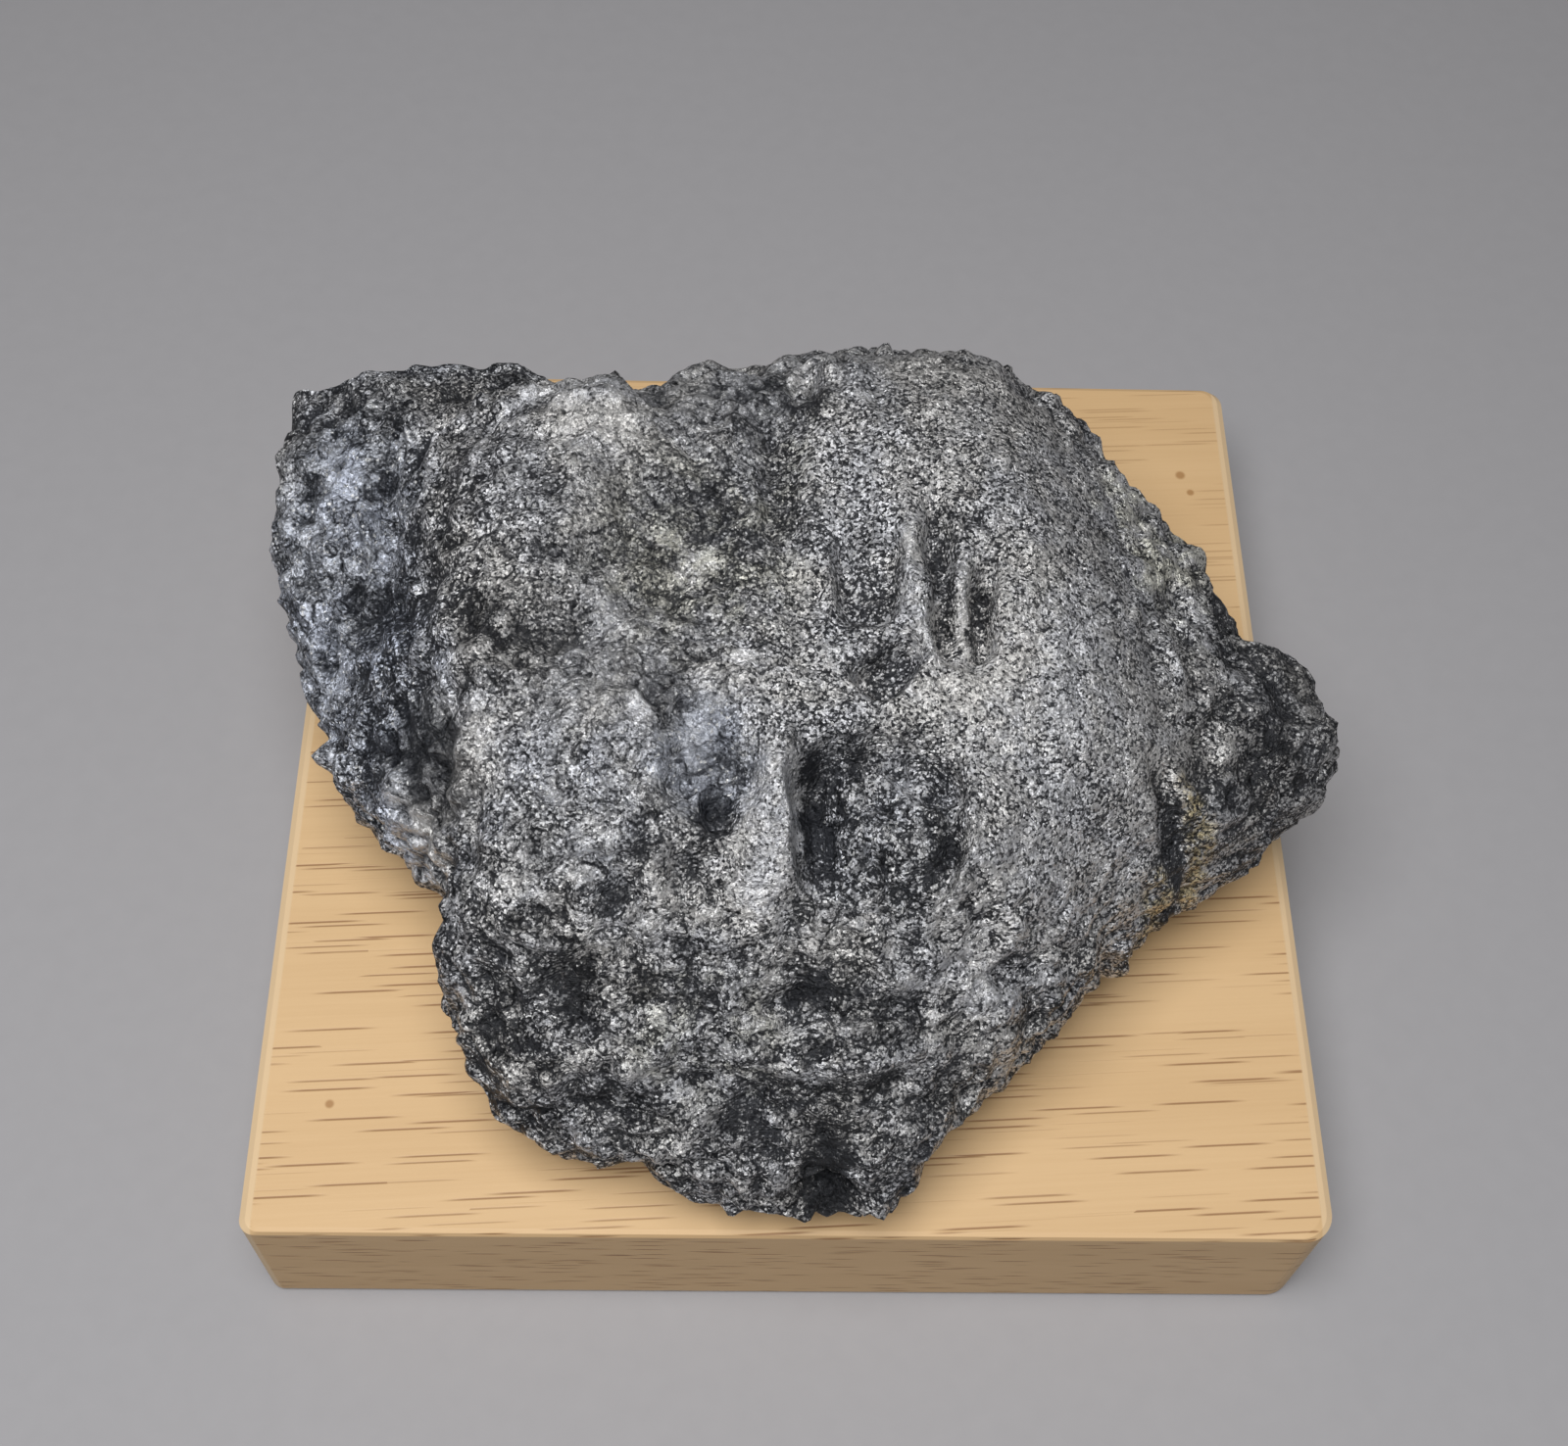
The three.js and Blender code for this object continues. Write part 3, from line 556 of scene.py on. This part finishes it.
# Colour zones: x, y, half length, half width, turn, strength, each with a soft and noisy edge
zones = {
    # rock tone, with painted shade in pits, slots, holes and crevices and painted glints, each marked below
    "toneAndPaintedShade": {
        "dome": (15, 2, 17, 17, 0, 0.32),
        "lowerRight": (21, -19, 12, 12, 0, 0.44),
        "centre": (-16, -3, 12, 16, 0, 0.06),
        "oliveCentre": (-9, -1, 6, 7, 0, -0.22),
        "lowerLeft": (-20, -22, 9, 7, 0, 0.12),
        "middle": (3, -15, 12, 4, 0, 0.20),
        "ridge": (-3, -27, 2.6, 7, -10, 0.76),
        "slotRidge": (13.6, -7, 0.45, 7, 0, 0.6),
        "lowerMound": (-15, -31, 7, 4, 0, 0.14),
        "bigPit": (6.1, -26.2, 6.6, 6.2, 0, 0.10),
        # painted shade in the big pit's slot and right wall, the shallow pit, the oval pit and the two slots
        "pitSlot": (1.2, -25.2, 1.3, 5.8, 7, -0.6),
        "pitEdge": (11.8, -25, 1.5, 5.5, 0, -0.22),
        "shallowPit": (6.0, -5.2, 2.6, 3.2, 0, -0.58),
        "ovalPit": (7.1, -13.4, 2.9, 1.9, 35, -0.9),
        "slotLeft": (11.8, -4.8, 0.8, 6.2, 3, -0.75),
        "slotRight": (15.3, -7.8, 0.9, 4.2, -3, -0.8),
        "slotHead": (13, 1.2, 2.2, 3.0, 0, -0.2),
        "slotRib": (9.2, -5, 0.9, 8, 5, 0.5),
        "nose": (47, -5, 9, 8, 0, -0.04),
        "noseDark": (44, -15, 5, 3, -30, -0.2),
        "noseBump": (40.8, 3, 2.2, 2.2, 0, -0.35),
        "noseHeart": (44.5, -6.5, 3.4, 3.4, 0, -0.14),
        "noseRoot": (36.5, -10, 4.5, 6.5, 0, 0.28),
        # painted shade in the left hollow
        "hollow": (-32.3, -17.0, 2.9, 4.8, 15, -0.32),
        "leftSlab": (-34.3, -21.0, 2.4, 4.5, 35, 0.3),
        "leftBand": (-38, 6, 2.0, 12, 2, 0.06),
        "leftFlank": (-45, 8, 5, 13, 0, 0.10),
        "backLobe": (-36, 32, 12, 4, 0, -0.26),
        "front": (-2, -50, 34, 8, 0, 0.02),
        "patch": (-21, -9, 3.4, 2.6, 0, -0.24),
        "patchTop": (-17, 14, 4, 3, 20, -0.14),
        "darkPatch": (-11, -14.8, 2.3, 2.0, 0, -0.26),
        "plate": (-14, -1, 3, 2, 30, -0.16),
        # painted shade in the small hole
        "topHole": (0.5, 14.4, 1.4, 2.0, 0, -0.6),
        "channelDark": (0, 2, 1.6, 4.6, 18, -0.26),
        "channel": (-1.8, 7, 1.8, 9, -3, -0.16),
        "scoop": (-7.4, -22.5, 2.6, 4.0, 10, -0.15),
        # painted shade at the foot of the scoop
        "scoopFoot": (-7.0, -26, 1.9, 2.2, 10, -0.5),
        # painted shade in the front's gaps, holes, hollow and groove, and in the front pit
        "leaf": (-18, -36.8, 4.2, 1.2, 28, -0.3),
        "slabHole": (-25.2, -38.3, 2.2, 1.2, 20, -0.36),
        "frontHollow": (2.6, -38, 4.6, 2.2, 0, -0.4),
        "frontGroove": (6, -44.2, 8, 1.0, 3, -0.24),
        "frontPit": (2.6, -48.6, 2.2, 2.4, 0, -0.9),
        "edgeBand": (25, -33, 8, 2.2, 40, -0.22),
        # painted shade in the crevice and in a second dark spot beside it; the lip between them is lighter
        # rock
        "crevice": (33.0, -21.8, 1.1, 4.4, 30, -1.0),
        "creviceLip": (35.6, -20.6, 1.0, 3.2, 38, 0.24),
        "creviceMate": (37.9, -17.6, 1.5, 1.2, 0, -0.6),
        "upperLeft": (-22, 13, 9, 6, 0, 0.40),
        "upperCentre": (-6, 4, 4, 8, 0, -0.12),
        "scoopTop": (-8.6, -19.4, 1.8, 2.2, 0, 0.24),
        "frontMiddle": (-2, -38, 18, 6, 0, 0.25),
        "frontRight": (18, -33, 8, 6, 30, 0.32),
        "rightFlank": (33, 8, 5, 12, 10, 0.42),
        "plateUpper": (-11.7, -0.4, 2.0, 1.1, -25, 0.6),
        "plateLower": (-9.1, -3.1, 2.5, 1.5, 30, 0.6),
        "whiteChip": (-5.1, -12.8, 0.9, 1.0, 0, 1.0),
        "lath": (-26.8, -18.7, 1.1, 3.0, 10, 0.4),
        # painted glints: bright spots where the rock catches the light
        "paintedGlintUpper": (-42.8, 14.4, 2.0, 2.6, 0, 0.4),
        "paintedGlintLower": (-42.1, -5.6, 1.5, 2.0, 0, 0.7),
        "paintedGlintMiddle": (-13.7, -17.5, 0.9, 1.1, 0, 0.7),
        "ridgeTop": (-33.9, 11, 1.2, 5, -20, 0.3),
        "ridgeLow": (-30.5, -12.7, 1.4, 3, 0, 0.28),
        "ovalFloor": (7.5, -13.1, 1.0, 0.7, 35, 0.5),
        # painted shade along the big pit's upper edge and right wall
        "bigPitTop": (6, -20.8, 6, 1.3, 0, -0.45),
        "bigPitRight": (11.4, -25, 1.3, 4.6, 0, -0.42),
    },
    "olive": {
        "upperCentre": (-9, -2, 8, 9, 0, 0.55),
        "lowerCentre": (-8, -41, 6, 4, 0, 0.5),
        "upperMiddle": (-2, 10, 3, 8, 0, 0.35),
        "rightFlank": (33, 8, 6, 12, 0, 0.6),
    },
    "ochre": {
        "crevice": (35.6, -20.8, 1.3, 3.6, 38, 1.0),
        "creviceFoot": (32.5, -25.5, 1.8, 1.4, 0, 0.9),
    },
    # where the grains are less marked
    "calm": {
        "centre": (-14, 0, 13, 16, 0, 1.0),
        "leftFlank": (-44, 6, 8, 20, 0, 1.0),
        "leftHollow": (-33, -18.5, 4.5, 7, 15, 1.0),
        "lowerLeft": (-18, -21, 14, 11, 0, 0.8),
        "front": (-6, -40, 24, 8, 0, 0.35),
        "scoop": (-7, -21, 4, 5, 0, 0.6),
        "upper": (-5, 20, 20, 8, 0, 0.9),
        "nose": (47, -6, 6, 7, 0, 0.5),
    },
    # where flakes lie level, and where they stand upright
    "level": {
        "front": (-6, -42, 30, 13, 0, 1.0),
        "backLobe": (-38, 28, 10, 6, 0, 0.6),
        "lowRight": (28, -27, 12, 7, 35, 1.1),
    },
    "upright": {
        "rightFlank": (32, 8, 7, 16, 12, 1.0),
        "slots": (14, -6, 4, 9, 0, 0.7),
        "bigPit": (6.5, -26, 8, 7, 0, 0.9),
        "leftBand": (-37, 3, 4, 14, 0, 0.9),
        "nose": (45, -6, 9, 8, 0, 0.7),
        "channel": (-1.5, 4, 3, 12, -3, 0.7),
    },
    # painted bluish sheen: a cool tint standing for bluish light on these parts
    "paintedBlueSheen": {
        "leftFlank": (-43, 8, 8, 16, 0, 0.9),
        "leftLow": (-38, -12, 7, 12, 0, 0.8),
        "backLobe": (-38, 32, 14, 5, 0, 0.5),
        "scoop": (-8, -21.5, 4, 5, 0, 0.7),
        "pit": (6, -26, 7, 6, 0, 0.3),
        "lowerLeft": (-20, -26, 8, 6, 0, 0.3),
    },
}


# How a patch's edge wanders and how soft it is, both more for a wide patch, up to a most, and how fast and
# from where the patches fade under the rim
zoneEdge = {
    "wander": (0.3, 0.4, 1.6),
    "soft": (0.25, 0.03, 0.7),
    "wanderSizes": (3.5, 1.4),
    "fineShare": 0.45,
    "fade": 3,
    "fadeFrom": 0.6,
}


# Strength of each field: the sum over its patches of strength times a smooth step of the elliptic distance,
# from a place that noise has strayed, fading under the rim
def stoneZones(points, up):
    x, y = points[:, 0], points[:, 1]
    at = np.stack([x, y, points[:, 2]], -1)
    wide, fine = zoneEdge["wanderSizes"]
    strayX, strayY = (
        noise(at / wide + far) + zoneEdge["fineShare"] * noise(at / fine + near)
        for far, near in (readAt["zoneX"], readAt["zoneY"])
    )
    found = {}
    for name, patches in zones.items():
        total = np.zeros(len(points))
        for midX, midY, halfX, halfY, turn, strength in patches.values():
            least, more, most = zoneEdge["wander"]
            wander = min(most, least + more * min(halfX, halfY))
            least, more, most = zoneEdge["soft"]
            soft = min(most, least + more * min(halfX, halfY))
            angle = np.radians(turn)
            dx, dy = x + wander * strayX - midX, y + wander * strayY - midY
            u = (dx * np.cos(angle) + dy * np.sin(angle)) / halfX
            v = (dy * np.cos(angle) - dx * np.sin(angle)) / halfY
            total = total + strength * smoothStep((1 + soft - np.hypot(u, v)) / (2 * soft))
        found[name] = total * smoothStep(up * zoneEdge["fade"] + zoneEdge["fadeFrom"])
    return found


# The stone's finish: glittering metal grains, some painted near white as glints, over a mottled dark ground,
# with painted shade in the valleys and a painted bluish sheen
stoneLook = {
    "grain": 0.23,  # mm across one glittering grain
    "grainStray": 1100,  # noise per metre that bends the grains' edges, and how far it bends them
    "grainBend": 0.16,
    "grainGap": (0.35, 0.75),
    "flake": 1.7,  # mm across one flake of the rough parts
    "flakeStray": 380,
    "flakeBend": 1.9,
    "flakeStretch": (0.8, 0.8, 1.4),
    # noise layers: mm across, detail, roughness, stretch along each axis, distortion
    "clouds": {
        "fine": (0.16, 2, 0.6, (1, 1, 1), 0.0),
        "specks": (1.5, 3, 0.6, (1, 1, 1), 0.0),
        "speckle": (0.8, 4, 0.7, (1, 1, 1), 0.0),
        "mottle": (2.6, 6, 0.68, (1, 1, 1), 0.5),
        "broad": (9, 4, 0.6, (1, 1, 1), 0.6),
        "level": (1.5, 5, 0.7, (0.30, 1.1, 1.5), 0.3),
        "upright": (1.5, 5, 0.7, (1.5, 0.32, 0.4), 0.3),
    },
    "crackWidth": 0.11,  # as a share of a flake
    "crackSpeckle": 0.5,
    # the values at which each mark starts and is full
    "crackWhere": (0.16, -0.16),
    "speckWhere": (0.10, 0.18),
    "oliveWhere": (-0.08, 0.12),
    "ochreWhere": (-0.2, 0.05),
    "warmWhere": (-0.16, 0.16),
    "warmSpeckle": 0.4,
    # these grains get painted glints: their colour is drawn toward near white
    "sparkle": 0.93,  # grains whose random number is above this flash
    "sparkleRange": 0.03,
    "sparkleWhere": (0.25, 0.6),
    "paintedGlintShare": 0.75,
    # how much each layer lightens or darkens the tone
    "base": 0.54,
    "mottleTone": 0.75,
    "broadTone": 0.4,
    "speckleTone": 0.3,
    "streakTone": 1.5,
    "grainTone": 1.25,
    "fineTone": 1.5,
    "gapTone": 0.25,
    "flakeTone": 0.5,
    "crackTone": 0.65,
    "crackEverywhere": 0.1,
    # how dark the painted shade in the valleys is
    "valleyTone": 0.65,
    "speckTone": 0.25,
    "toneRange": (-0.3, 1.14),
    "toneCurve": 1.8,
    # how marked the grains are: the usual share, less in calm areas, more in smooth ones
    "grainShare": 1.3,
    "calmGrain": 0.65,
    "smoothGrain": 0.5,
    "calmed": 0.3,  # how far the calm areas are drawn to their plain tone
    # how far grains and flakes lean, and how high each layer stands in the bump
    "grainLean": 0.75,
    "flakeLean": 0.55,
    "mottleHeight": 0.6,
    "speckleHeight": 0.3,
    "streakHeight": 0.7,
    "fineHeight": 0.08,
    "crackHeight": 0.15,
    "bump": 0.9,
    "bumpDistance": 1.1,
    "roughness": (0.36, 0.2),  # the least, and how much more it can be
    "glintRoughness": 0.12,
    "metallic": (0.28, 0.5),
    "dark": (0.022, 0.023, 0.026),
    "bright": (0.70, 0.70, 0.70),
    "olive": (0.93, 0.935, 0.80),
    # tint of the painted bluish sheen
    "paintedBlueSheen": (0.92, 0.98, 1.10),
    "ochre": (1.10, 0.95, 0.60),
    # colour of the painted glints
    "paintedGlint": (0.85, 0.85, 0.84),
    "warm": (1.02, 1.0, 0.975),
    "cool": (0.975, 0.985, 1.03),
}


def stoneMaterial():
    made, place = newMaterial("gudmundite")
    look = stoneLook
    attribute = {n: place.node("ShaderNodeAttribute", {"attribute_name": n}, {}, "Fac") for n in stoneFields}

    def cloud(size, detail, roughness, stretch, distortion):
        at = place if stretch == (1, 1, 1) else scaled(place, stretch)
        inputs = {"Vector": at, "Scale": 1000 / size, "Detail": detail, "Roughness": roughness}
        return place.node("ShaderNodeTexNoise", {}, {**inputs, "Distortion": distortion}) - 0.5

    strays = {"Vector": place, "Scale": look["grainStray"], "Detail": 2}
    stray = place.node("ShaderNodeTexNoise", {}, strays, "Color")
    bent = strayed(place, stray, look["grainBend"] * mm)
    grains = {"Vector": bent, "Scale": 1000 / look["grain"]}
    cell = place.node("ShaderNodeTexVoronoi", {}, grains, "Color")
    away = place.node("ShaderNodeTexVoronoi", {}, grains, "Distance")
    first, second, third = (cell.node("ShaderNodeSeparateColor", {}, {"Color": cell}, i) for i in range(3))
    fine, specks, speckle, mottle, broad, level, upright = (cloud(*v) for v in look["clouds"].values())
    streaks = level * attribute["level"] + upright * attribute["upright"]
    swirls = {"Vector": place, "Scale": look["flakeStray"], "Detail": 2}
    swirl = place.node("ShaderNodeTexNoise", {}, swirls, "Color")
    swirled = strayed(place, swirl, look["flakeBend"] * mm)
    flakes = {"Vector": scaled(swirled, look["flakeStretch"]), "Scale": 1000 / look["flake"]}
    flake = place.node("ShaderNodeTexVoronoi", {}, flakes, "Color")
    flakeEdge = place.node("ShaderNodeTexVoronoi", {"feature": "DISTANCE_TO_EDGE"}, flakes, "Distance")
    cracked = (mottle + speckle * look["crackSpeckle"]).rise(*look["crackWhere"])
    crack = (1 - flakeEdge.rise(0, look["crackWidth"])) * cracked
    flakeTone = flake.node("ShaderNodeSeparateColor", {}, {"Color": flake}, 0)

    rough = attribute["rough"]
    # the rock's own lighter and darker parts, with the painted shade of pits and holes and painted glints
    plain = attribute["toneAndPaintedShade"] + look["base"]
    tone = plain + mottle * look["mottleTone"] + broad * look["broadTone"]
    tone = tone + speckle * look["speckleTone"] + streaks * look["streakTone"]
    grainShare = look["grainShare"] - attribute["calm"] * look["calmGrain"]
    grainShare = grainShare + (1 - rough) * look["smoothGrain"]
    gaps = away.rise(*look["grainGap"]) * look["gapTone"]
    tone = tone + ((first - 0.5) * look["grainTone"] + fine * look["fineTone"] - gaps) * grainShare
    tone = tone + (flakeTone - 0.5) * rough * look["flakeTone"]
    tone = tone - crack * (rough * look["crackTone"] + look["crackEverywhere"])
    # painted shade: darker where the fine relief is lowest, in the valleys between chips
    tone = tone - attribute["valley"] * look["valleyTone"]
    tone = tone - specks.rise(*look["speckWhere"]) * look["speckTone"]
    tone = tone + (plain - tone) * attribute["calm"] * look["calmed"]
    share = tone.rise(*look["toneRange"])
    colour = blendColours(look["dark"], look["bright"], share ** look["toneCurve"])
    # painted bluish sheen
    colour = tinted(colour, look["paintedBlueSheen"], attribute["paintedBlueSheen"])
    colour = tinted(colour, look["olive"], attribute["olive"] * (mottle + broad).rise(*look["oliveWhere"]))
    warmth = (broad + speckle * look["warmSpeckle"]).rise(*look["warmWhere"])
    colour = tinted(colour, blendColours(look["cool"], look["warm"], warmth), 1)
    stained = attribute["ochre"] * (speckle + mottle).rise(*look["ochreWhere"])
    colour = tinted(colour, look["ochre"], stained)
    # painted glints: the chosen grains are painted near white, and they also get a lower roughness
    chosen = second.rise(look["sparkle"], look["sparkle"] + look["sparkleRange"])
    flash = chosen * share.rise(*look["sparkleWhere"])
    colour = blendColours(colour, look["paintedGlint"], flash * look["paintedGlintShare"])

    facing = cell.node("ShaderNodeVectorMath", {"operation": "SUBTRACT"}, {0: cell, 1: (0.5, 0.5, 0.5)})
    facing = timesColour(facing, look["grainLean"])
    leaning = flake.node("ShaderNodeVectorMath", {"operation": "SUBTRACT"}, {0: flake, 1: (0.5, 0.5, 0.5)})
    leaning = timesColour(leaning, rough * look["flakeLean"])
    facing = cell.node("ShaderNodeVectorMath", {"operation": "ADD"}, {0: facing, 1: leaning})
    height = mottle * look["mottleHeight"] + speckle * look["speckleHeight"] + streaks * look["streakHeight"]
    height = height + fine * look["fineHeight"] - crack * look["crackHeight"]
    bump = {"Strength": look["bump"], "Distance": look["bumpDistance"] * mm, "Height": height}
    bumped = place.node("ShaderNodeBump", {}, bump)
    tilted = cell.node("ShaderNodeVectorMath", {"operation": "ADD"}, {0: bumped, 1: facing})
    normal = cell.node("ShaderNodeVectorMath", {"operation": "NORMALIZE"}, {0: tilted})
    least, more = look["roughness"]
    roughness = third * more + least - flash * look["glintRoughness"]
    least, more = look["metallic"]
    metallic = share * more + least
    sockets = {"Base Color": colour, "Normal": normal, "Roughness": roughness, "Metallic": metallic}
    return finishMaterial(made, sockets, {"IOR": 1.5, "Specular IOR Level": 0.3})


faceRows = 128  # rows of faces along each side of the cube
lump = bpy.data.objects.new("gudmundite_lump", stoneMesh(faceRows))
bpy.context.scene.collection.objects.link(lump)
lump.data.materials.append(stoneMaterial())
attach(lump, "root")
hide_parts("gudmundite_stone")
print("stone made:", len(lump.data.polygons), "faces")

# The block's finish: pale wood with its grain along x
woodLook = {
    "pale": (0.60, 0.405, 0.212),
    "deep": (0.53, 0.345, 0.170),
    "endGrain": (0.66, 0.49, 0.30),
    "slant": 3.2,  # degrees that the grain leans off the block's edge
    "pore": (0.25, 0.12, 0.045),
    "poreLength": 10,
    "poreSpacing": 0.6,
    "poreFibre": 0.5,
    "endFrom": 48.7,  # how far from the middle the end bevels start
    # knots: x, y and radius
    "knots": {"left": (-42.9, -37.7, 0.42), "backOne": (44.1, 37.4, 0.55), "backTwo": (45, 35, 0.42)},
    "knot": (0.33, 0.17, 0.06),
    "knotEdge": (0.6, 1.3),
    "knotShare": 0.85,
    # how fine the bands and fibres are along the grain and across it
    "bandScale": (8, 150, 150),
    "fibreScale": (70, 2600, 2600),
    "bandRange": (0.3, 0.7),
    "bandTone": 0.6,
    "fibreTone": 0.7,
    "fibreHeight": 0.25,
    "poreWidth": (0.08, 0.25),
    "poreEnd": (0.22, 0.5),
    "poreWhere": (0.35, 0.7),
    "poreShare": 0.85,
    # over what length toward the back the pores thin out, and how much
    "backRange": 30,
    "backShare": 0.6,
    "endBlend": 0.25,
    "endShare": 0.8,
    "bump": 0.3,
    "bumpDistance": 0.15,
}


def woodMaterial():
    made, place = newMaterial("paleWood")
    look = woodLook
    grainwise = scaled(place, (1, 1, 1), (0, 0, np.radians(-look["slant"])))
    bands, fibres = (
        place.node("ShaderNodeTexNoise", {}, {"Vector": scaled(grainwise, size), "Scale": 1, "Detail": 3})
        for size in (look["bandScale"], look["fibreScale"])
    )
    across = 1000 / look["poreSpacing"]
    pores = scaled(grainwise, (1000 / look["poreLength"], across, across))
    middle = place.node("ShaderNodeTexVoronoi", {}, {"Vector": pores, "Scale": 1}, "Position")
    offset = middle.node("ShaderNodeVectorMath", {"operation": "SUBTRACT"}, {0: pores, 1: middle})
    along, side, up = (offset.node("ShaderNodeSeparateXYZ", {}, {"Vector": offset}, i) for i in range(3))
    radius = (side * side + up * up) ** 0.5
    dash = (1 - radius.rise(*look["poreWidth"])) * (1 - along.math("ABSOLUTE", along).rise(*look["poreEnd"]))
    dash = dash * (bands + fibres * look["poreFibre"]).rise(*look["poreWhere"])
    tone = bands.rise(*look["bandRange"]) * look["bandTone"] + (fibres - 0.5) * look["fibreTone"]
    colour = blendColours(look["pale"], look["deep"], tone)
    x, y = (place.node("ShaderNodeSeparateXYZ", {}, {"Vector": place}, i) for i in range(2))
    end = x.math("ABSOLUTE", x).rise(look["endFrom"] * mm, (look["endFrom"] + look["endBlend"]) * mm)
    colour = blendColours(colour, look["endGrain"], end * look["endShare"])
    dash = dash * (1 - end) * (1 - y.rise(0, look["backRange"] * mm) * look["backShare"])
    colour = blendColours(colour, look["pore"], dash * look["poreShare"])
    for atX, atY, size in look["knots"].values():
        far = ((x - atX * mm) ** 2 + (y - atY * mm) ** 2) ** 0.5
        low, high = (size * edge * mm for edge in look["knotEdge"])
        colour = blendColours(colour, look["knot"], (1 - far.rise(low, high)) * look["knotShare"])
    height = fibres * look["fibreHeight"] - dash
    bump = {"Strength": look["bump"], "Distance": look["bumpDistance"] * mm, "Height": height}
    normal = place.node("ShaderNodeBump", {}, bump)
    return finishMaterial(made, {"Base Color": colour, "Normal": normal}, {"Roughness": 0.55, "IOR": 1.45})


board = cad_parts["display_block"]
board.data.materials.clear()
board.data.materials.append(woodMaterial())
print("wood finished")

# Floor and light
setting = {
    "floor": (0.325, 0.319, 0.330),
    "floorSize": 3000,
    "floorSpeck": 0.94,  # brightness of its specks, and the scale of their noise per metre
    "floorSpeckScale": 400,
    "world": (0.98, 0.98, 1.0),
    "worldStrength": 0.14,
    "lamp": {"at": (-50, -130, 440), "size": 270, "watts": 2.3},
}


def addFloor():
    half = setting["floorSize"] / 2 * mm
    corners = [(-half, -half, 0), (half, -half, 0), (half, half, 0), (-half, half, 0)]
    mesh = bpy.data.meshes.new("floor")
    mesh.from_pydata(corners, [], [(0, 1, 2, 3)])
    floor = bpy.data.objects.new("floor", mesh)
    made, place = newMaterial("floorPaper")
    specks = {"Vector": place, "Scale": setting["floorSpeckScale"], "Detail": 2}
    speck = place.node("ShaderNodeTexNoise", {}, specks)
    darker = tuple(setting["floorSpeck"] * c for c in setting["floor"])
    colour = blendColours(setting["floor"], darker, speck)
    mesh.materials.append(finishMaterial(made, {"Base Color": colour}, {"Roughness": 0.8}))
    bpy.context.scene.collection.objects.link(floor)


def addLamp(name):
    lamp = setting[name]
    data = bpy.data.lights.new(name, "AREA")
    data.shape = "DISK"
    data.size = lamp["size"] * mm
    data.energy = lamp["watts"]
    made = bpy.data.objects.new(name, data)
    made.location = Vector(lamp["at"]) * mm
    made.rotation_euler = (-made.location).to_track_quat("-Z", "Y").to_euler()
    bpy.context.scene.collection.objects.link(made)


def setWorld():
    world = bpy.data.worlds.new("studio")
    bpy.context.scene.world = world
    world.use_nodes = True
    background = world.node_tree.nodes["Background"]
    background.inputs["Color"].default_value = (*setting["world"], 1)
    background.inputs["Strength"].default_value = setting["worldStrength"]
    bpy.context.scene.view_settings.view_transform = "Standard"


addFloor()
addLamp("lamp")
setWorld()
print("floor and light set")
